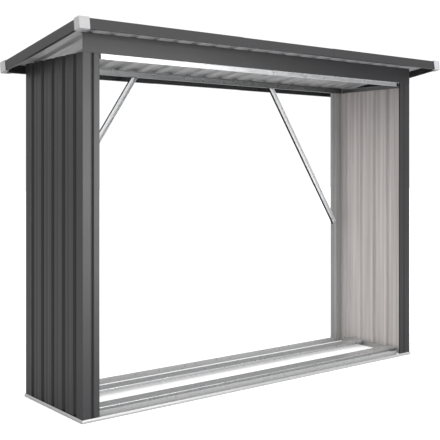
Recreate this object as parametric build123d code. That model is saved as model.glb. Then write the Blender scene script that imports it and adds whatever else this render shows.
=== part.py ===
"""Open-fronted steel log store: galvanised frame, two ribbed side walls and a ribbed lean-to roof.

X runs along the width, Y from front to rear and Z up. The origin is on the ground, in the middle
of the roof's plan. Every piece is folded sheet steel at its real thickness, apart from the four
plastic corner caps of the roof.
"""

import os
from math import cos, radians, sin, tan

from build123d import *

# Walls: the outer faces of the posts, and the height of posts, sheets and top rails
wall_width = 1982.0
wall_depth = 505.0
wall_height = 1454.0

# Roof: its slope in degrees and how far its edge trim stands out from the walls
roof_slope = 8.57
front_overhang = 129.0
rear_overhang = 70.0
side_overhang = 85.0

# Room left between two pieces that lie against each other
seat_gap = 0.2

# Base rails: channels on the ground, with a low lip that leans in outside and a taller leg inside
base_thickness = 1.0
base_width = 30.0
base_lip_foot = 7.0
base_lip_height = 14.0
base_lip_lean = 3.0
base_leg_height = 27.0
base_bend = 1.6
base_lip_room = 0.5

# Floor rails: shallow inverted channels from side to side, which keep the logs off the ground
floor_thickness = 1.0
floor_width = 71.0
floor_skirt = 13.0
floor_bend = 2.0
floor_front_setback = 70.0
floor_rear_setback = 133.0
floor_lap = 9.0
floor_notch = 16.0

# Corner posts: a flange along the side wall and a grooved face along the front or rear
post_thickness = 0.8
post_flange = 50.0
post_outer_flat = 37.0
post_groove = 14.0
post_groove_floor = 2.0
post_groove_depth = 6.5
post_inner_flat = 25.5
rear_post_inner_flat = 32.0
post_return = 9.0
post_bend = 1.0

# Side wall sheets: flat pans between narrow upright grooves
wall_thickness = 0.5
wall_rib_spacing = 93.4
wall_groove = 27.0
wall_groove_floor = 12.0
wall_groove_depth = 12.0
wall_bend = 2.5
wall_edge_room = 2.0
wall_sheet_rise = 2.0
wall_bead = 26.0
wall_bead_floor = 6.0
wall_bead_depth = 1.2

# Top rails: channels that tie the posts and walls together, and a Z rail under the header board
rail_thickness = 1.0
rail_height = 22.0
rail_flange = 22.0
rail_bend = 1.6
front_rail_edge = 1.5
front_rail_setback = 14.0
front_rail_height = 20.0
front_rail_lip = 6.0
front_rail_end_room = 5.0

# Header board: the tall front fascia that lifts the front of the roof
header_thickness = 0.7
header_flange = 18.0
header_bend = 1.6

# Braces: channels across the two upper corners at the rear
brace_thickness = 1.2
brace_width = 27.0
brace_stand = 15.0
brace_bend = 1.6
brace_reach = 485.0
brace_drop = 739.0
brace_rib_room = 1.0

# Roof sheets: ribs from front to rear, in three lapped widths
roof_thickness = 0.5
roof_rib_spacing = 103.0
roof_valley = 40.0
roof_crest = 42.0
roof_rib_height = 10.0
roof_bend = 2.5
roof_rest = 3.0
roof_lap_inset = 4.0
middle_sheet_share = 1 / 3

# Roof trims: channels round the roof's edge, the front and rear ones in three lengths
trim_thickness = 0.6
trim_height = 42.0
trim_flange = 26.0
trim_return = 12.0
trim_bend = 1.4
trim_joint = 278.0
trim_lap = 40.0

# Corner caps: moulded sleeves over the corners of the trims
cap_thickness = 2.4
cap_room = 0.4
cap_length = 43.0
front_cap_side = 36.0
rear_cap_side = 51.0
cap_margin = 2.0
cap_corner = 3.0
cap_edge = 1.2

# The roof lies on one plane, level in X. Its own frame starts at the middle of the front edge,
# with Y down the slope and Z square to the sheets, and 0 at the underside of their valleys.
slope = radians(roof_slope)
roof_plan_depth = front_overhang + wall_depth + rear_overhang
roof_length = roof_plan_depth / cos(slope)
roof_half_width = wall_width / 2 + side_overhang
crest_top = roof_rib_height + 2 * roof_thickness + 2 * seat_gap
trim_nest = trim_thickness + seat_gap
trim_top = crest_top + 2 * trim_nest
trim_bottom = trim_top - trim_height
cap_proud = cap_room + cap_thickness
roof_front = -roof_plan_depth / 2 - (trim_top + trim_bottom) / 2 * sin(slope)

front_face = -roof_plan_depth / 2 + front_overhang
rear_face = front_face + wall_depth
wall_middle = (front_face + rear_face) / 2
wall_half = wall_width / 2
roof_rear_height = wall_height + roof_rest
roof_edge_height = roof_rear_height + (rear_face - roof_front) * tan(slope)
roof_place = Location((0, roof_front, roof_edge_height), (-roof_slope, 0, 0))

# Layers of the wall, counted inwards from the outer face of the posts
post_back = post_groove_depth + post_thickness
sheet_face = post_thickness + seat_gap
sheet_back = sheet_face + wall_groove_depth + wall_thickness
post_foot = base_thickness + seat_gap
base_proud = base_lip_room + base_thickness + base_lip_lean
front_rail_back = front_rail_setback + rail_thickness
front_post_width = post_outer_flat + post_groove + post_inner_flat
rear_post_width = post_outer_flat + post_groove + rear_post_inner_flat


def roof_underside(inset):
    """Height of the roof's valleys at a distance behind the front faces of the posts."""
    return roof_rear_height + (wall_depth - inset) * tan(slope)


def folded(points, bend, thickness, side):
    """Section of a folded sheet: a line with rounded bends, thickened to one side."""
    line = FilletPolyline(*points, radius=bend)
    return make_face(offset(line, amount=thickness, side=side))


def trapezium_row(centres, opening, floor, depth):
    """Corners of a line that steps from zero to a depth and back at each centre."""
    corners = []
    for centre in centres:
        corners.append((centre - opening / 2, 0))
        corners.append((centre - floor / 2, depth))
        corners.append((centre + floor / 2, depth))
        corners.append((centre + opening / 2, 0))
    return corners


def swapped(points):
    """The same points with their two coordinates exchanged."""
    return [(second, first) for first, second in points]


def along_x(section, start, end):
    """A section drawn as depth and height, carried along X from start to end."""
    return Pos(X=start) * extrude(Plane.YZ * section, end - start)


def mitred(section, half_length, reach):
    """A run along X whose ends are cut at 45 degrees, shorter on the inside."""
    outer = half_length - seat_gap
    plan = make_face(
        Polyline(
            (-outer, 0),
            (outer, 0),
            (outer - reach, reach),
            (-outer + reach, reach),
            close=True,
        )
    )
    return along_x(section, -half_length, half_length) & extrude(plan, wall_height, both=True)


def mirrored_x(piece):
    """The piece on the other side, left for right."""
    return mirror(piece, about=Plane.YZ)


def make_base_rails():
    """Four mitred channels flat on the ground, their inner legs cut back where the posts stand."""
    points = [
        (base_lip_lean, base_lip_height),
        (0, base_lip_foot),
        (0, 0),
        (base_width, 0),
        (base_width, base_leg_height),
    ]
    section = folded(points, base_bend, base_thickness, Side.LEFT)
    half_width = wall_half + base_proud
    half_depth = wall_depth / 2 + base_proud
    leg_foot = base_thickness + base_bend

    def rail(half_length, post_cover):
        run = mitred(section, half_length, base_width)
        room = Box(post_cover + base_proud, base_width / 2, base_leg_height)
        corner_room = Pos(Y=base_width * 3 / 4, Z=leg_foot + base_leg_height / 2) * room
        reach = half_length - (post_cover + base_proud) / 2
        return run - Pos(X=-reach) * corner_room - Pos(X=reach) * corner_room

    front = Pos(Y=-half_depth) * rail(half_width, front_post_width)
    rear = Pos(Y=-half_depth) * rail(half_width, rear_post_width)
    side = Pos(Y=-half_width) * rail(half_depth, post_flange)
    centre = Pos(Y=wall_middle)
    return {
        "base_rail_front": centre * front,
        "base_rail_rear": centre * Rot(Z=180) * rear,
        "base_rail_left": centre * Rot(Z=-90) * side,
        "base_rail_right": centre * Rot(Z=90) * side,
    }


def make_floor_rails():
    """Two inverted channels whose top plates lap onto the inner legs of the side base rails."""
    plate_top = base_leg_height + seat_gap + floor_thickness
    points = [
        (0, plate_top - floor_skirt),
        (0, plate_top),
        (floor_width, plate_top),
        (floor_width, plate_top - floor_skirt),
    ]
    section = folded(points, floor_bend, floor_thickness, Side.RIGHT)
    leg_face = wall_half + base_proud - base_width
    plate_half = leg_face + floor_lap
    skirt_half = leg_face - floor_notch
    bar = along_x(section, -plate_half, plate_half)
    under_plate = plate_top - floor_thickness
    for end in (-1, 1):
        cut = Box(plate_half - skirt_half, floor_width, under_plate)
        middle = end * (plate_half + skirt_half) / 2
        bar -= Pos(middle, floor_width / 2, under_plate / 2) * cut
    return {
        "floor_rail_front": Pos(Y=front_face + floor_front_setback) * bar,
        "floor_rail_rear": Pos(Y=rear_face - floor_rear_setback - floor_width) * bar,
    }


def make_posts():
    """Four corner posts, folded from one strip each and standing in the base rails."""
    groove_middle = post_outer_flat + post_groove / 2
    groove = trapezium_row([groove_middle], post_groove, post_groove_floor, post_groove_depth)

    def post(inner_line):
        line = [(0, post_flange), (0, 0), *groove, *inner_line]
        return extrude(folded(line, post_bend, post_thickness, Side.LEFT), wall_height - post_foot)

    returned = post([(front_post_width, 0), (front_post_width, post_return)])
    plain = post([(rear_post_width, 0)])
    front_left = Pos(-wall_half, front_face, post_foot) * returned
    rear_left = Pos(-wall_half, rear_face, post_foot) * mirror(plain, about=Plane.XZ)
    return {
        "post_front_left": front_left,
        "post_front_right": mirrored_x(front_left),
        "post_rear_left": rear_left,
        "post_rear_right": mirrored_x(rear_left),
    }


def make_wall_sheets():
    """Two ribbed sheets behind the posts' flanges, pressed inwards in grooves with beads between them."""
    ribbed = wall_depth - 2 * post_flange - wall_groove
    gaps = int(ribbed / wall_rib_spacing)
    centres = [(rib - gaps / 2) * wall_rib_spacing for rib in range(gaps + 1)]
    front_edge = front_rail_back + seat_gap - wall_depth / 2
    rear_edge = wall_depth / 2 - wall_edge_room
    beads = [(here + there) / 2 for here, there in zip(centres, centres[1:])]
    line = trapezium_row(centres, wall_groove, wall_groove_floor, wall_groove_depth)
    line += trapezium_row(beads, wall_bead, wall_bead_floor, wall_bead_depth)
    line = [(front_edge, 0), *sorted(line), (rear_edge, 0)]
    section = folded(swapped(line), wall_bend, wall_thickness, Side.RIGHT)
    sheet = extrude(section, wall_height + wall_sheet_rise - post_foot)
    left = Pos(-wall_half + sheet_face, wall_middle, post_foot) * sheet
    return {"wall_sheet_left": left, "wall_sheet_right": mirrored_x(left)}


def make_top_rails():
    """A ring of rails at wall height: a Z in front, channels at the sides and a sloped one at the rear."""
    bottom = wall_height - rail_height
    web = post_back + seat_gap
    level = [(rail_flange, wall_height), (0, wall_height), (0, bottom), (rail_flange, bottom)]
    rear_web_top = roof_underside(wall_depth - web) - seat_gap
    rear_flange_top = roof_underside(wall_depth - web - rail_flange) - seat_gap
    sloped = [(rail_flange, rear_flange_top), (0, rear_web_top), (0, bottom), (rail_flange, bottom)]
    lip = wall_height - front_rail_height + rail_thickness
    stepped = [
        (front_rail_edge, wall_height),
        (front_rail_back, wall_height),
        (front_rail_back, lip),
        (front_rail_back + front_rail_lip, lip),
    ]
    level_section = folded(level, rail_bend, rail_thickness, Side.LEFT)
    sloped_section = folded(sloped, rail_bend, rail_thickness, Side.LEFT)
    stepped_section = folded(stepped, rail_bend, rail_thickness, Side.RIGHT)
    front_half = wall_half - front_post_width - front_rail_end_room
    rear_half = wall_half - sheet_face - wall_thickness - seat_gap
    front = Pos(Y=front_face) * along_x(stepped_section, -front_half, front_half)
    rear = Pos(Y=rear_face - web) * Rot(Z=180) * along_x(sloped_section, -rear_half, rear_half)
    side_start = front_face + wall_edge_room
    side_end = rear_face - web - rail_flange - seat_gap
    side_web = wall_half - sheet_back - seat_gap
    right = Pos(X=side_web) * Rot(Z=90) * along_x(level_section, side_start, side_end)
    return {
        "top_rail_front": front,
        "top_rail_rear": rear,
        "top_rail_left": mirrored_x(right),
        "top_rail_right": right,
    }


def make_header_board():
    """Front fascia: its foot lies on the posts and the front rail, and its flange carries the roof."""
    foot = wall_height + seat_gap
    points = [
        (header_flange, roof_underside(header_flange) - seat_gap),
        (0, roof_underside(0) - seat_gap),
        (0, foot),
        (front_rail_back, foot),
    ]
    section = folded(points, header_bend, header_thickness, Side.LEFT)
    return {"header_board": Pos(Y=front_face) * along_x(section, -wall_half, wall_half)}


def make_braces():
    """Two channels from the rear posts up to the rear top rail, each with its open side to the front."""
    points = [(brace_width, brace_stand), (brace_width, 0), (0, 0), (0, brace_stand)]
    section = folded(points, brace_bend, brace_thickness, Side.RIGHT)
    run = Vector(-brace_reach, 0, brace_drop)
    up = run.normalized()
    corner_side = Vector(up.Z, 0, -up.X)
    rail_bottom = wall_height - rail_height - seat_gap
    back = rear_face - post_thickness - seat_gap
    rib_side = wall_half - post_outer_flat - post_groove - brace_rib_room
    foot = Vector(rib_side, back, rail_bottom - brace_drop)
    start = Plane(origin=foot, x_dir=-corner_side, z_dir=up)
    bar = extrude(start * section, run.length + brace_width)
    below = Box(wall_width, wall_depth, rail_bottom, align=(Align.CENTER, Align.CENTER, Align.MIN))
    right = bar & Pos(Y=wall_middle) * below
    return {"brace_left": mirrored_x(right), "brace_right": right}


def make_roof_sheets():
    """Three ribbed sheets that lap on a crest, the outer two lying over the middle one."""
    slant = (roof_rib_spacing - roof_valley - roof_crest) / 2
    opening = roof_valley + 2 * slant
    edge = roof_half_width - 2 * trim_nest
    side_ribs = int((edge - opening / 2) / roof_rib_spacing)
    middle_ribs = round(side_ribs * middle_sheet_share)
    seam = (middle_ribs + 1 / 2) * roof_rib_spacing
    seam_end = roof_crest / 2 - roof_lap_inset
    lift = roof_thickness + seat_gap
    ends = roof_length - 4 * trim_nest

    def sheet(line):
        section = folded(line, roof_bend, roof_thickness, Side.LEFT)
        flat = Pos(Y=2 * trim_nest) * extrude(Plane.XZ * section, -ends)
        return roof_place * flat

    def raised(corners):
        return [(place, roof_rib_height - depth) for place, depth in corners]

    middle = [rib * roof_rib_spacing for rib in range(-middle_ribs, middle_ribs + 1)]
    outer = [rib * roof_rib_spacing for rib in range(middle_ribs + 1, side_ribs + 1)]
    inner_line = [(-seam - seam_end, roof_rib_height)]
    inner_line += raised(trapezium_row(middle, opening, roof_valley, roof_rib_height))
    inner_line += [(seam + seam_end, roof_rib_height)]
    outer_corners = raised(trapezium_row(outer, opening, roof_valley, roof_rib_height))
    first_place, first_height = outer_corners[0]
    outer_line = [(seam - seam_end, first_height + lift), (first_place, first_height + lift)]
    outer_line += outer_corners[1:]
    outer_line += [(edge, roof_rib_height)]
    right = sheet(outer_line)
    return {
        "roof_sheet_left": mirrored_x(right),
        "roof_sheet_middle": sheet(inner_line),
        "roof_sheet_right": right,
    }


def trim_section(nest):
    """Section of a roof trim, or of the length that nests inside it."""
    points = [
        (trim_flange, trim_top - nest),
        (nest, trim_top - nest),
        (nest, trim_bottom + nest),
        (trim_return, trim_bottom + nest),
    ]
    return folded(points, trim_bend, trim_thickness, Side.LEFT)


def make_roof_trims():
    """Edge trims of the roof: mitred at the corners, with nested middle lengths front and rear."""
    long_run = mitred(trim_section(0), roof_half_width, trim_flange)
    short_run = mitred(trim_section(0), roof_length / 2, trim_flange)
    middle_half = trim_joint + trim_lap
    middle = along_x(trim_section(trim_nest), -middle_half, middle_half)
    tall = 2 * trim_height
    outer_length = roof_half_width - trim_joint
    half_space = Box(outer_length, 2 * trim_flange, tall)
    right = long_run & Pos(X=trim_joint + outer_length / 2) * half_space
    left = mirrored_x(right)
    turned = Pos(Y=roof_length) * Rot(Z=180)
    at_middle = Pos(Y=roof_length / 2)
    side = Pos(Y=-roof_half_width) * short_run
    return {
        "roof_trim_front_left": roof_place * left,
        "roof_trim_front_middle": roof_place * middle,
        "roof_trim_front_right": roof_place * right,
        "roof_trim_rear_left": roof_place * turned * right,
        "roof_trim_rear_middle": roof_place * turned * middle,
        "roof_trim_rear_right": roof_place * turned * left,
        "roof_trim_left": roof_place * at_middle * Rot(Z=-90) * side,
        "roof_trim_right": roof_place * at_middle * Rot(Z=90) * side,
    }


def make_corner_caps():
    """Four moulded sleeves that slip over the mitred corners of the roof trims."""
    top = trim_top + cap_proud
    bottom = trim_bottom - cap_proud
    corner = (-cap_proud, -cap_proud)

    def sleeve(side_length):
        bend = [(cap_length, -cap_proud), corner, (-cap_proud, side_length)]
        wall = extrude(folded(bend, cap_corner, cap_thickness, Side.RIGHT), top - bottom)

        def flange(width):
            outline = [corner, (cap_length, -cap_proud), (cap_length, width), (width, width)]
            outline += [(width, side_length), (-cap_proud, side_length)]
            plan = make_face(Polyline(*outline, close=True))
            rounded = fillet(plan.vertices().sort_by_distance(corner)[0], cap_corner)
            return extrude(rounded, cap_thickness)

        cap = Pos(Z=bottom) * (wall + flange(trim_return + cap_margin))
        cap += Pos(Z=top - cap_thickness) * flange(trim_flange + cap_margin)
        for face in (cap.faces().sort_by(Axis.Z)[-1], cap.faces().sort_by(Axis.Z)[0]):
            rim = face.edges().sort_by_distance((*corner, face.center().Z))[:3]
            cap = chamfer(rim, cap_edge)
        return Pos(X=-roof_half_width) * cap

    front_left = sleeve(front_cap_side)
    rear_left = mirror(sleeve(rear_cap_side), about=Plane.XZ.offset(-roof_length / 2))
    return {
        "corner_cap_front_left": roof_place * front_left,
        "corner_cap_front_right": roof_place * mirrored_x(front_left),
        "corner_cap_rear_left": roof_place * rear_left,
        "corner_cap_rear_right": roof_place * mirrored_x(rear_left),
    }


pieces = {}
pieces.update(make_base_rails())
pieces.update(make_floor_rails())
pieces.update(make_posts())
pieces.update(make_wall_sheets())
pieces.update(make_top_rails())
pieces.update(make_header_board())
pieces.update(make_braces())
pieces.update(make_roof_sheets())
pieces.update(make_roof_trims())
pieces.update(make_corner_caps())

os.makedirs("parts", exist_ok=True)
for name, piece in pieces.items():
    export_step(piece, os.path.join("parts", name + ".step"))
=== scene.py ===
"""Open-fronted steel log store, dressed for its portrait in a white studio.

Metres, in the frame of the solids: X along the width, Y from front to rear, Z up from the ground.
"""

import math

import bpy
import numpy as np
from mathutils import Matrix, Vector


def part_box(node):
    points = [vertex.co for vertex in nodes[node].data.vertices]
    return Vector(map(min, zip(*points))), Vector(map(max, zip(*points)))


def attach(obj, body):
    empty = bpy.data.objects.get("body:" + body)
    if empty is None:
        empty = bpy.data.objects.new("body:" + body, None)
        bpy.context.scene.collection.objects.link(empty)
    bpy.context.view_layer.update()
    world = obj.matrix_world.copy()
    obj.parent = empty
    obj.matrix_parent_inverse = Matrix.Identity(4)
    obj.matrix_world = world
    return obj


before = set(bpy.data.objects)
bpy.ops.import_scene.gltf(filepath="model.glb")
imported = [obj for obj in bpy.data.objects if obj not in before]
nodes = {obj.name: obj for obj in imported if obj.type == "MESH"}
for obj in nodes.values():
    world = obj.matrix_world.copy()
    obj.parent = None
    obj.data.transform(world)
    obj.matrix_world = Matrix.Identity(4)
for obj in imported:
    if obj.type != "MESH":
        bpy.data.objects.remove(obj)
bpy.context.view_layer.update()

# Base rails: four channels flat on the ground, roll-formed from hot-dip galvanised strip and mitred
# at the corners. They carry the posts and walls and tie the whole store together at the foot.


def linear(code):
    """Linear colour of an sRGB hex code, by the two-part sRGB curve."""
    shades = np.array([int(code[place:place + 2], 16) for place in (1, 3, 5)]) / 255
    curve = np.where(shades <= 0.04045, shades / 12.92, ((shades + 0.055) / 1.055) ** 2.4)
    return (*curve.tolist(), 1.0)


def add(tree, kind, inputs, **settings):
    """One node in a shader tree, its inputs each given a value or another node's output."""
    made = tree.nodes.new(kind)
    for name, value in settings.items():
        setattr(made, name, value)
    for name, value in inputs.items():
        if isinstance(value, bpy.types.NodeSocket):
            tree.links.new(value, made.inputs[name])
        else:
            made.inputs[name].default_value = value
    return made


def finish_named(name):
    """A new material with an empty tree, and that tree."""
    material = bpy.data.materials.new(name)
    material.use_nodes = True
    material.node_tree.nodes.clear()
    return material, material.node_tree


def spangled_zinc(name, crystal_dark, crystal_light, cloud_tone, metallic):
    """Hot-dip zinc finish: crystal cells of two tones under a slow cloud, each with its own gloss."""
    finish, tree = finish_named(name)
    place = add(tree, "ShaderNodeTexCoord", {})
    spangle = add(tree, "ShaderNodeTexVoronoi", {"Vector": place.outputs["Object"], "Scale": 1 / 0.011})
    cloud = add(
        tree, "ShaderNodeTexNoise",
        {"Vector": place.outputs["Object"], "Scale": 1 / 0.16, "Detail": 3.0},
    )
    zinc = add(
        tree, "ShaderNodeMix",
        {0: spangle.outputs["Color"], 6: linear(crystal_dark), 7: linear(crystal_light)},
        data_type="RGBA",
    )
    aged = add(
        tree, "ShaderNodeMix",
        {0: cloud.outputs["Fac"], 6: zinc.outputs[2], 7: linear(cloud_tone)},
        data_type="RGBA",
    )
    gloss = add(
        tree, "ShaderNodeMapRange",
        {"Value": spangle.outputs["Color"], "To Min": 0.26, "To Max": 0.36},
    )
    crystal = add(
        tree, "ShaderNodeBump",
        {"Height": spangle.outputs["Distance"], "Strength": 0.03, "Distance": 0.0006},
    )
    sag = add(
        tree, "ShaderNodeBump",
        {
            "Height": cloud.outputs["Fac"],
            "Strength": 0.15,
            "Distance": 0.002,
            "Normal": crystal.outputs["Normal"],
        },
    )
    metal = add(
        tree, "ShaderNodeBsdfPrincipled",
        {
            "Base Color": aged.outputs[2],
            "Metallic": metallic,
            "Roughness": gloss.outputs["Result"],
            "Normal": sag.outputs["Normal"],
        },
    )
    add(tree, "ShaderNodeOutputMaterial", {"Surface": metal.outputs["BSDF"]})
    return finish


# Hot-dip galvanised steel, gone dull: the zinc freezes into flat crystals about 11 mm across, so
# neighbouring patches are a little lighter or darker, under a soft grey sheen.
galvanised = spangled_zinc("galvanised_steel_spangled", "#a2a3a3", "#b4b4b4", "#acacac", 0.15)

for side in ("front", "rear", "left", "right"):
    nodes["base_rail_" + side].data.materials.clear()
    nodes["base_rail_" + side].data.materials.append(galvanised)

# Floor rails: two shallow inverted channels that keep the logs off the ground. Their top plates lap
# onto the inner legs of the side base rails. The zinc is new and bright, so it mirrors more.
bright_zinc = spangled_zinc("bright_galvanised_steel", "#c2c3c4", "#d2d3d4", "#cecfd0", 0.8)
for side in ("front", "rear"):
    nodes["floor_rail_" + side].data.materials.clear()
    nodes["floor_rail_" + side].data.materials.append(bright_zinc)

# Corner posts: one strip of coil-coated steel each, folded round the corner, with a V groove down the
# face. The front pair turn back at the inner edge. Anthracite outside, a thin grey back coat inside.

# Polyester coil coating: a satin film, near black, levelled in the oven, so it shows a soft wide
# highlight, a fine orange peel of about 2 mm and the slow waves of thin sheet behind it.
coil_coat, tree = finish_named("anthracite_polyester_coil_coat")
place = add(tree, "ShaderNodeTexCoord", {})
drift = add(
    tree, "ShaderNodeTexNoise",
    {"Vector": place.outputs["Object"], "Scale": 1 / 0.22, "Detail": 3.0},
)
peel = add(
    tree, "ShaderNodeTexNoise",
    {"Vector": place.outputs["Object"], "Scale": 1 / 0.002, "Detail": 1.0},
)
film = add(
    tree, "ShaderNodeMix",
    {0: drift.outputs["Fac"], 6: linear("#17171a"), 7: linear("#1d1d20")},
    data_type="RGBA",
)
satin = add(
    tree, "ShaderNodeMapRange",
    {"Value": drift.outputs["Fac"], "To Min": 0.40, "To Max": 0.48},
)
skin = add(
    tree, "ShaderNodeBump",
    {"Height": peel.outputs["Fac"], "Strength": 0.06, "Distance": 0.0004},
)
wave = add(
    tree, "ShaderNodeBump",
    {
        "Height": drift.outputs["Fac"],
        "Strength": 0.3,
        "Distance": 0.004,
        "Normal": skin.outputs["Normal"],
    },
)
paint = add(
    tree, "ShaderNodeBsdfPrincipled",
    {
        "Base Color": film.outputs[2],
        "Roughness": satin.outputs["Result"],
        "IOR": 1.5,
        "Specular IOR Level": 0.68,
        "Normal": wave.outputs["Normal"],
    },
)
add(tree, "ShaderNodeOutputMaterial", {"Surface": paint.outputs["BSDF"]})


def rolled_back_coat(name, thin, thick, streak_tone, along):
    """Back coat finish: cloudy film colours under streaks stretched along one axis of the sheet."""
    finish, tree = finish_named(name)
    place = add(tree, "ShaderNodeTexCoord", {})
    drift = add(
        tree, "ShaderNodeTexNoise",
        {"Vector": place.outputs["Object"], "Scale": 1 / 0.18, "Detail": 4.0},
    )
    drawn = add(tree, "ShaderNodeMapping", {"Vector": place.outputs["Object"], "Scale": along})
    streak = add(
        tree, "ShaderNodeTexNoise",
        {"Vector": drawn.outputs["Vector"], "Scale": 1.0, "Detail": 2.0},
    )
    film = add(
        tree, "ShaderNodeMix",
        {0: drift.outputs["Fac"], 6: linear(thin), 7: linear(thick)},
        data_type="RGBA",
    )
    share = add(
        tree, "ShaderNodeMapRange",
        {"Value": streak.outputs["Fac"], "From Min": 0.35, "From Max": 0.65},
    )
    rolled = add(
        tree, "ShaderNodeMix",
        {0: share.outputs["Result"], 6: film.outputs[2], 7: linear(streak_tone)},
        data_type="RGBA",
    )
    flat = add(
        tree, "ShaderNodeMapRange",
        {"Value": streak.outputs["Fac"], "To Min": 0.30, "To Max": 0.50},
    )
    skin = add(
        tree, "ShaderNodeBump",
        {"Height": streak.outputs["Fac"], "Strength": 0.08, "Distance": 0.0006},
    )
    backing = add(
        tree, "ShaderNodeBsdfPrincipled",
        {
            "Base Color": rolled.outputs[2],
            "Roughness": flat.outputs["Result"],
            "IOR": 1.5,
            "Normal": skin.outputs["Normal"],
        },
    )
    add(tree, "ShaderNodeOutputMaterial", {"Surface": backing.outputs["BSDF"]})
    return finish


# Back coats: thin polyester films, rolled onto the zinc along the strip, so they are duller than the
# face and keep streaks, about 22 mm apart, that run up the sheet. Warm grey on the walls; the posts
# get a darker plain grey copy, painted shade for their inner faces in the corners.
streak_width = 0.022
streak_length = 1.2
up_the_sheet = (1 / streak_width, 1 / streak_width, 1 / streak_length)
post_coat_painted_shade = rolled_back_coat(
    "darker_post_back_coat_painted_shade", "#9a9a9a", "#a5a5a4", "#b2b2b1", up_the_sheet,
)
wall_coat = rolled_back_coat(
    "warm_grey_polyester_back_coat", "#bcb6b4", "#c8c2c0", "#ddd8d6", up_the_sheet,
)


def faces_of(piece):
    """Centres and normals of a piece's faces, as two arrays."""
    count = len(piece.data.polygons)
    centres = np.zeros(count * 3)
    normals = np.zeros(count * 3)
    piece.data.polygons.foreach_get("center", centres)
    piece.data.polygons.foreach_get("normal", normals)
    return centres.reshape(-1, 3), normals.reshape(-1, 3)


def coat(piece, painted, edges, inside):
    """Each face of a sheet gets its finish: paint outside, its own coat inside, bare zinc at cut edges."""
    piece.data.materials.clear()
    for finish in (coil_coat, inside, galvanised):
        piece.data.materials.append(finish)
    chosen = np.where(edges, 2, np.where(painted, 0, 1))
    piece.data.polygons.foreach_set("material_index", chosen.astype(np.int32))
    piece.data.update()


# A face nearer than this to an edge is in a rounded fold, and one turned this far is a cut end.
bend = 0.0019
end_facing = 0.9
for rear in (False, True):
    for right in (False, True):
        post = nodes["post_" + ("rear" if rear else "front") + ("_right" if right else "_left")]
        low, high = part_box(post.name)
        centres, normals = faces_of(post)
        out_x = 1 if right else -1
        out_y = 1 if rear else -1
        from_side = (high.x - centres[:, 0]) if right else (centres[:, 0] - low.x)
        from_face = (high.y - centres[:, 1]) if rear else (centres[:, 1] - low.y)
        sideways = normals[:, 0] * out_x
        facing = normals[:, 1] * out_y
        width = high.x - low.x
        on_flange = (from_side < bend) & (from_face > bend)
        in_corner = (from_side < bend) & (from_face <= bend)
        on_return = (from_side > width - bend) & (from_face > bend)
        in_fold = (from_side > width - bend) & (from_face <= bend)
        painted = np.select(
            [on_flange, in_corner, on_return, in_fold],
            [sideways > 0, sideways + facing > 0, sideways < 0, facing - sideways > 0],
            facing > 0,
        )
        coat(post, painted, np.abs(normals[:, 2]) > end_facing, post_coat_painted_shade)

# Wall sheets: roll-formed coil-coated steel with five upright grooves, held behind the posts'
# flanges. Anthracite outside and the grey back coat inside, with bare zinc only along the cut ends.
for side in ("left", "right"):
    sheet = nodes["wall_sheet_" + side]
    centres, normals = faces_of(sheet)
    outwards = normals[:, 0] * (1 if side == "right" else -1)
    coat(sheet, outwards > 0, np.abs(normals[:, 2]) > end_facing, wall_coat)

# Top rails: a ring of galvanised channels at wall height that the roof and header are screwed to. The
# front one takes the lighter bright zinc, painted light for the light it catches from the open front.
# The others take a darker copy of the zinc, painted shade for the dark header back and roof they face.
painted_shade_zinc = spangled_zinc("zinc_darkened_as_painted_shade", "#8a8b8c", "#989999", "#919293", 0.9)
for side in ("front", "rear", "left", "right"):
    nodes["top_rail_" + side].data.materials.clear()
    nodes["top_rail_" + side].data.materials.append(bright_zinc if side == "front" else painted_shade_zinc)

# Header board: a tall folded fascia, coil-coated on both faces, that lifts the front of the roof.
# Its foot lies on the posts and the front rail, and its top flange carries the sheets.
nodes["header_board"].data.materials.clear()
nodes["header_board"].data.materials.append(coil_coat)

# Braces: two channels across the upper rear corners, which stop the store racking. They are folded
# from strip that is primed matt black outside and has a pale zinc coat on the open side to the front.

# Matt epoxy primer: a thin black film with no gloss, which lets the long legs read as dark lines.
primer, tree = finish_named("matt_black_epoxy_primer")
place = add(tree, "ShaderNodeTexCoord", {})
drift = add(
    tree, "ShaderNodeTexNoise",
    {"Vector": place.outputs["Object"], "Scale": 1 / 0.05, "Detail": 3.0},
)
film = add(
    tree, "ShaderNodeMix",
    {0: drift.outputs["Fac"], 6: linear("#171719"), 7: linear("#202022")},
    data_type="RGBA",
)
matt = add(
    tree, "ShaderNodeMapRange",
    {"Value": drift.outputs["Fac"], "To Min": 0.65, "To Max": 0.80},
)
primed = add(
    tree, "ShaderNodeBsdfPrincipled",
    {
        "Base Color": film.outputs[2],
        "Roughness": matt.outputs["Result"],
        "IOR": 1.5,
        "Specular IOR Level": 0.2,
    },
)
add(tree, "ShaderNodeOutputMaterial", {"Surface": primed.outputs["BSDF"]})

# Zinc flake: a dip-spun silver paint of zinc scales, matt and pale, mottled in patches of about 12 mm.
zinc_flake, tree = finish_named("silver_zinc_flake_coat")
place = add(tree, "ShaderNodeTexCoord", {})
patch = add(
    tree, "ShaderNodeTexNoise",
    {"Vector": place.outputs["Object"], "Scale": 1 / 0.012, "Detail": 3.0},
)
scales = add(
    tree, "ShaderNodeMix",
    {0: patch.outputs["Fac"], 6: linear("#dfe0e1"), 7: linear("#edeeef")},
    data_type="RGBA",
)
matt = add(
    tree, "ShaderNodeMapRange",
    {"Value": patch.outputs["Fac"], "To Min": 0.45, "To Max": 0.60},
)
dipped = add(
    tree, "ShaderNodeBsdfPrincipled",
    {
        "Base Color": scales.outputs[2],
        "Roughness": matt.outputs["Result"],
        "IOR": 1.5,
        "Specular IOR Level": 0.2,
    },
)
add(tree, "ShaderNodeOutputMaterial", {"Surface": dipped.outputs["BSDF"]})

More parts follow.
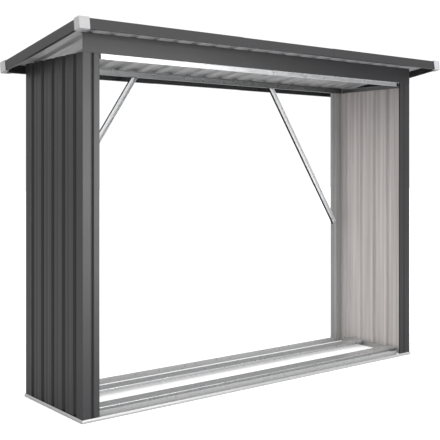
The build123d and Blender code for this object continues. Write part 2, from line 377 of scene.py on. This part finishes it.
# The bar's own width takes this much of its box across and up, and legs are turned at least this far.
bar_across, bar_up = 0.030, 0.015
leg_facing = 0.7
for side in ("left", "right"):
    brace = nodes["brace_" + side]
    low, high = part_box(brace.name)
    centres, normals = faces_of(brace)
    wide, tall = high.x - low.x, high.z - low.z
    lean = math.atan2(wide - bar_across, tall - bar_up) * (-1 if side == "right" else 1)
    across = normals[:, 0] * math.cos(lean) - normals[:, 2] * math.sin(lean)
    from_middle = (centres[:, 0] - (low.x + high.x) / 2) * math.cos(lean)
    from_middle -= (centres[:, 2] - (low.z + high.z) / 2) * math.sin(lean)
    leg = np.abs(across) > leg_facing
    painted = np.where(leg, across * from_middle > 0, normals[:, 1] > 0)
    coat(brace, painted, np.zeros(len(normals), bool), zinc_flake)
    brace.data.materials[0] = primer

# Roof sheets: three lapped widths of ribbed coil-coated steel, anthracite above and with a grey coat
# below, that fall to the rear at about one in seven. The coat below is a darker, cool grey copy of the
# back coat, painted shade for the underside. The streaks of its coat run down the slope.
down_the_sheet = (1 / streak_width, 1 / streak_length, 1 / streak_width)
roof_coat_painted_shade = rolled_back_coat(
    "darker_roof_back_coat_painted_shade", "#98989a", "#a3a3a4", "#b6b6b7", down_the_sheet,
)
fall = math.radians(8.57)
for side in ("left", "middle", "right"):
    sheet = nodes["roof_sheet_" + side]
    centres, normals = faces_of(sheet)
    upwards = normals[:, 1] * math.sin(fall) + normals[:, 2] * math.cos(fall)
    along = normals[:, 1] * math.cos(fall) - normals[:, 2] * math.sin(fall)
    coat(sheet, upwards > 0, np.abs(along) > end_facing, roof_coat_painted_shade)

# Roof trims: folded coil-coated channels round the roof's edge, painted on both faces. The front and
# rear ones are in three lengths, with the middle length nested inside the outer two.
for name in [name for name in nodes if name.startswith("roof_trim")]:
    nodes[name].data.materials.clear()
    nodes[name].data.materials.append(coil_coat)

# Corner caps: moulded sleeves over the mitred trim corners, in a light grey matt plastic. They close
# the mitres and cover the sharp cut edges.

# Polypropylene with a spark-eroded grain: a matt pale grey skin, with a grain of about 1 mm drawn at
# 2 mm so that it shows.
cap_plastic, tree = finish_named("matt_grey_polypropylene")
place = add(tree, "ShaderNodeTexCoord", {})
grain = add(
    tree, "ShaderNodeTexNoise",
    {"Vector": place.outputs["Object"], "Scale": 1 / 0.002, "Detail": 2.0},
)
tone = add(
    tree, "ShaderNodeTexNoise",
    {"Vector": place.outputs["Object"], "Scale": 1 / 0.03, "Detail": 2.0},
)
resin = add(
    tree, "ShaderNodeMix",
    {0: tone.outputs["Fac"], 6: linear("#adadae"), 7: linear("#b6b6b7")},
    data_type="RGBA",
)
matt = add(
    tree, "ShaderNodeMapRange",
    {"Value": grain.outputs["Fac"], "To Min": 0.45, "To Max": 0.60},
)
skin = add(
    tree, "ShaderNodeBump",
    {"Height": grain.outputs["Fac"], "Strength": 0.15, "Distance": 0.0004},
)
moulded = add(
    tree, "ShaderNodeBsdfPrincipled",
    {
        "Base Color": resin.outputs[2],
        "Roughness": matt.outputs["Result"],
        "IOR": 1.49,
        "Normal": skin.outputs["Normal"],
    },
)
add(tree, "ShaderNodeOutputMaterial", {"Surface": moulded.outputs["BSDF"]})
for name in [name for name in nodes if name.startswith("corner_cap")]:
    nodes[name].data.materials.clear()
    nodes[name].data.materials.append(cap_plastic)

# Rail end blocks: two black blocks under the front rail's top flange, painted shade that fills the gap
# between the rail's cut ends and the returns of the front posts, where that gap lies dark.

# Moulded polyamide for the washers, black and nearly matt, with a faint flow pattern about 8 mm across.
black_washers_and_shade_blocks, tree = finish_named("black_polyamide_washers_and_shade_blocks")
place = add(tree, "ShaderNodeTexCoord", {})
flow = add(
    tree, "ShaderNodeTexNoise",
    {"Vector": place.outputs["Object"], "Scale": 1 / 0.008, "Detail": 2.0},
)
black_dye_and_shade = add(
    tree, "ShaderNodeMix",
    {0: flow.outputs["Fac"], 6: linear("#0c0c0d"), 7: linear("#141415")},
    data_type="RGBA",
)
matt = add(
    tree, "ShaderNodeMapRange",
    {"Value": flow.outputs["Fac"], "To Min": 0.55, "To Max": 0.70},
)
black_washer_and_shade_surface = add(
    tree, "ShaderNodeBsdfPrincipled",
    {
        "Base Color": black_dye_and_shade.outputs[2],
        "Roughness": matt.outputs["Result"],
        "IOR": 1.53,
        "Specular IOR Level": 0.3,
    },
)
add(tree, "ShaderNodeOutputMaterial", {"Surface": black_washer_and_shade_surface.outputs["BSDF"]})

corner = np.array([[x, y, z] for x in (0, 1) for y in (0, 1) for z in (0, 1)])
block = np.array([[0, 1, 3, 2], [4, 6, 7, 5], [0, 4, 5, 1], [2, 3, 7, 6], [0, 2, 6, 4], [1, 5, 7, 3]])
# The two blocks are painted shade: black boxes set where the rail end gap lies in shadow.
shade_block_low = np.array([[-0.9143, -0.2137, 1.4346], [0.9025, -0.2137, 1.4346]])
shade_block_size = np.array([0.0118, 0.0045, 0.0180])
shade_block_points = (shade_block_low[:, None] + corner * shade_block_size).reshape(-1, 3)
shade_block_faces = (block + np.array([0, 8])[:, None, None]).reshape(-1, 4)
mesh = bpy.data.meshes.new("rail_end_painted_shade_blocks")
mesh.from_pydata(shade_block_points.tolist(), [], shade_block_faces.tolist())
mesh.materials.append(black_washers_and_shade_blocks)
shade_blocks = bpy.data.objects.new("rail_end_painted_shade_blocks", mesh)
bpy.context.scene.collection.objects.link(shade_blocks)
rounding = shade_blocks.modifiers.new("rounded_block_edges", "BEVEL")
rounding.width = 0.0008
rounding.segments = 2
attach(shade_blocks, "root")

# Screws and rivets: washer-head hexagon screws at the rear posts and in the roof's valleys, two zinc
# bolts at the braces' feet, and low rivets along the trims' top flanges. The front posts have none.


def turned_heads(name, places, outward, rings, finishes):
    """One mesh of many small heads: rings of 12 points, each at a radius and height along its own way out.

    A row of rings gives the radius, the height, 1 for a hexagon or 0 for a circle, and the finish.
    """
    around = 12
    rings = np.array(rings)
    turns = np.arange(around) * 2 * math.pi / around
    hexagon = np.where(np.arange(around) % 2, math.cos(math.pi / 6), 1.0)
    radius = rings[:, :1] * np.where(rings[:, 2:3] > 0, hexagon, 1.0)
    height = np.broadcast_to(rings[:, 1:2], radius.shape)
    shape = np.stack([radius * np.cos(turns), radius * np.sin(turns), height], axis=-1).reshape(-1, 3)
    places, outward = np.array(places), np.array(outward)
    slanting = [0.31, 0.52, 0.79]
    first = np.cross(outward, slanting)
    first /= np.linalg.norm(first, axis=1, keepdims=True)
    frames = np.stack([first, np.cross(outward, first), outward], axis=1)
    points = places[:, None] + np.einsum("pk,nkc->npc", shape, frames)
    ring, step = np.meshgrid(np.arange(len(rings) - 1), np.arange(around), indexing="ij")
    after = (step + 1) % around
    here, above = ring * around, (ring + 1) * around
    walls = np.stack([here + step, here + after, above + after, above + step], axis=-1)
    offsets = np.arange(len(places)) * len(shape)
    quads = offsets[:, None, None] + walls.reshape(-1, 4)
    tops = offsets[:, None] + np.arange(around) + (len(rings) - 1) * around
    mesh = bpy.data.meshes.new(name)
    mesh.from_pydata(points.reshape(-1, 3).tolist(), [], quads.reshape(-1, 4).tolist() + tops.tolist())
    for finish in finishes:
        mesh.materials.append(finish)
    chosen = np.concatenate([np.tile(rings[ring.ravel() + 1, 3], len(places)), np.zeros(len(places))])
    mesh.polygons.foreach_set("material_index", chosen.astype(np.int32))
    piece = bpy.data.objects.new(name, mesh)
    bpy.context.scene.collection.objects.link(piece)
    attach(piece, "root")
    return piece


screw = [
    (0.0070, 0.0000, 0, 1),
    (0.0064, 0.0013, 0, 1),
    (0.0046, 0.0014, 1, 1),
    (0.0046, 0.0048, 1, 0),
    (0.0038, 0.0054, 1, 0),
]
rear_face = 0.2820
corner_line, brace_line = 0.973, 0.914
foot_height, brace_height, head_height = 0.0235, 0.7063, 1.4430
post_places = [
    (x, rear_face, z) for x in (-corner_line, corner_line) for z in (foot_height, head_height)
]
post_places += [(-brace_line, rear_face, brace_height), (brace_line, rear_face, brace_height)]
post_ways = np.tile([0.0, 1.0, 0.0], (len(post_places), 1))
post_screws = turned_heads("post_screws", post_places, post_ways, screw, (coil_coat, black_washers_and_shade_blocks))

# The roof's own directions: down the slope and square to the sheets, from the middle of its front edge.
down = np.array([0, math.cos(fall), -math.sin(fall)])
square = np.array([0, math.sin(fall), math.cos(fall)])
roof_edge = np.array([0, -0.35081, 1.55236])


def on_roof(across, along, lift):
    """Points on the roof, from distances across, down the slope and square to the sheets."""
    across, along, lift = np.broadcast_arrays(across, along, lift)
    return roof_edge + across[:, None] * [1, 0, 0] + along[:, None] * down + lift[:, None] * square


rib_spacing = 0.103
sheet_top = 0.0005
front_row, rear_row = 0.1394, 0.6207
valleys = np.arange(-9, 10) * rib_spacing
roof_places = np.concatenate([
    on_roof(valleys, front_row, sheet_top),
    on_roof(valleys, rear_row, sheet_top),
])
roof_ways = np.tile(square, (len(roof_places), 1))
roof_screws = turned_heads("roof_screws", roof_places, roof_ways, screw, (coil_coat, black_washers_and_shade_blocks))

rivet = [(0.0042, 0.0000, 0, 0), (0.0037, 0.0010, 0, 0), (0.0020, 0.0016, 0, 0)]
half_row = np.array([0.298, 0.4635, 0.6695, 0.8755])
long_row = np.concatenate([-half_row, half_row])
side_row = np.array([0.13, 0.28, 0.43, 0.58])
middle_row = np.array([-0.0515, 0.0515])
roof_length = 0.71195
trim_inset, nested_inset = 0.014, 0.015
trim_top, nested_top = 0.0130, 0.0122
side_line = 1.062
rivet_places = np.concatenate([
    on_roof(long_row, trim_inset, trim_top),
    on_roof(long_row, roof_length - trim_inset, trim_top),
    on_roof(middle_row, nested_inset, nested_top),
    on_roof(middle_row, roof_length - nested_inset, nested_top),
    on_roof(-side_line, side_row, trim_top),
    on_roof(side_line, side_row, trim_top),
])
rivet_ways = np.tile(square, (len(rivet_places), 1))
trim_rivets = turned_heads("trim_rivets", rivet_places, rivet_ways, rivet, (coil_coat,))

bolt = [(0.0060, 0.0000, 0, 0), (0.0060, 0.0010, 0, 0), (0.0046, 0.0011, 1, 0), (0.0046, 0.0044, 1, 0)]
brace_web = 0.2798
bolt_places = [(-brace_line, brace_web, brace_height), (brace_line, brace_web, brace_height)]
brace_bolts = turned_heads("brace_bolts", bolt_places, [(0, -1, 0)] * 2, bolt, (galvanised,))

# Studio: a seamless pale floor under an even white surround, with one soft key light at the front
# right that shows in the satin faces of the posts.
reach = 30.0
spread = np.linspace(-reach, reach, 13)
across, deep = np.meshgrid(spread, spread, indexing="ij")
points = np.stack([across, deep, np.zeros_like(across)], axis=-1).reshape(-1, 3)
index = np.arange(len(points)).reshape(across.shape)
quads = np.stack([index[:-1, :-1], index[1:, :-1], index[1:, 1:], index[:-1, 1:]], axis=-1).reshape(-1, 4)
mesh = bpy.data.meshes.new("studio_floor")
mesh.from_pydata(points.tolist(), [], quads.tolist())
floor = bpy.data.objects.new("studio_floor", mesh)
bpy.context.scene.collection.objects.link(floor)
paper, tree = finish_named("white_studio_paper")
seen = add(tree, "ShaderNodeLightPath", {})
glow = add(
    tree, "ShaderNodeMapRange",
    {"Value": seen.outputs["Is Camera Ray"], "To Min": 0.0, "To Max": 0.4},
)
shade = add(
    tree, "ShaderNodeMix",
    {0: seen.outputs["Is Camera Ray"], 6: linear("#c6c6c6"), 7: linear("#e8e8e8")},
    data_type="RGBA",
)
sheet_white = add(
    tree, "ShaderNodeBsdfPrincipled",
    {
        "Base Color": shade.outputs[2],
        "Roughness": 0.9,
        "Emission Color": linear("#ffffff"),
        "Emission Strength": glow.outputs["Result"],
    },
)
add(tree, "ShaderNodeOutputMaterial", {"Surface": sheet_white.outputs["BSDF"]})
mesh.materials.append(paper)

world = bpy.data.worlds.new("white_surround")
bpy.context.scene.world = world
world.use_nodes = True
world.node_tree.nodes.clear()
heading = add(world.node_tree, "ShaderNodeTexCoord", {})
height = add(world.node_tree, "ShaderNodeSeparateXYZ", {"Vector": heading.outputs["Generated"]})
front = add(
    world.node_tree, "ShaderNodeMapRange",
    {"Value": height.outputs["Z"], "From Min": 0.08, "From Max": 0.26, "To Min": 0.25, "To Max": 1.65},
    interpolation_type="SMOOTHSTEP",
)
rear = add(
    world.node_tree, "ShaderNodeMapRange",
    {"Value": height.outputs["Z"], "From Min": 0.03, "From Max": 0.28, "To Min": 0.40, "To Max": 1.35},
    interpolation_type="SMOOTHSTEP",
)
turned = add(
    world.node_tree, "ShaderNodeMapRange",
    {"Value": height.outputs["Y"], "From Min": -0.3, "From Max": 0.3},
    interpolation_type="SMOOTHSTEP",
)
raised = add(
    world.node_tree, "ShaderNodeMix",
    {0: turned.outputs["Result"], 2: front.outputs["Result"], 3: rear.outputs["Result"]},
)
level = raised.outputs[0]

# Three dim patches of the surround, as dark flags would make: the way to each, the cosines at its edge
# and core, and the share of light left at the core. The first is what the floor rails' tops mirror.
for toward, edge, core, least in (
    ((0.62, 0.75, 0.23), 0.50, 0.98, 0.25),
    ((-0.40, -0.917, 0.0), 0.82, 0.98, 0.15),
    ((0.76, -0.61, 0.22), 0.94, 0.995, 0.15),
):
    facing = add(
        world.node_tree, "ShaderNodeVectorMath",
        {0: heading.outputs["Generated"], 1: toward},
        operation="DOT_PRODUCT",
    )
    dimmed = add(
        world.node_tree, "ShaderNodeMapRange",
        {
            "Value": facing.outputs["Value"],
            "From Min": edge,
            "From Max": core,
            "To Min": 1.0,
            "To Max": least,
        },
        interpolation_type="SMOOTHSTEP",
    )
    flagged = add(
        world.node_tree, "ShaderNodeMath",
        {0: level, 1: dimmed.outputs["Result"]},
        operation="MULTIPLY",
    )
    level = flagged.outputs["Value"]
surround = add(
    world.node_tree, "ShaderNodeBackground",
    {"Color": linear("#ffffff"), "Strength": level},
)
backdrop = add(
    world.node_tree, "ShaderNodeBackground",
    {"Color": linear("#ffffff"), "Strength": 1.05},
)
seen = add(world.node_tree, "ShaderNodeLightPath", {})
either = add(
    world.node_tree, "ShaderNodeMixShader",
    {
        0: seen.outputs["Is Camera Ray"],
        1: surround.outputs["Background"],
        2: backdrop.outputs["Background"],
    },
)
add(world.node_tree, "ShaderNodeOutputWorld", {"Surface": either.outputs["Shader"]})

key = bpy.data.lights.new("key_softbox", "AREA")
key.shape = "RECTANGLE"
key.size = 2.0
key.size_y = 1.9
key.energy = 84.0
key_lamp = bpy.data.objects.new("key_softbox", key)
key_lamp.location = (0.9, -3.7, 0.95)
key_lamp.rotation_euler = (math.radians(90), 0, math.radians(28))
bpy.context.scene.collection.objects.link(key_lamp)

# Camera: level, 1 m up to the front left. The frame is shifted down, so that uprights stay upright.
lens = bpy.data.cameras.new("portrait_camera")
lens.lens = 68.53
lens.sensor_width = 36.0
lens.shift_y = -0.118
camera = bpy.data.objects.new("portrait_camera", lens)
camera.location = (-2.5995, -3.1207, 1.0)
camera.rotation_euler = (math.radians(90), 0, math.radians(-38.353))
bpy.context.scene.collection.objects.link(camera)
bpy.context.scene.camera = camera
bpy.context.scene.view_settings.view_transform = "Standard"
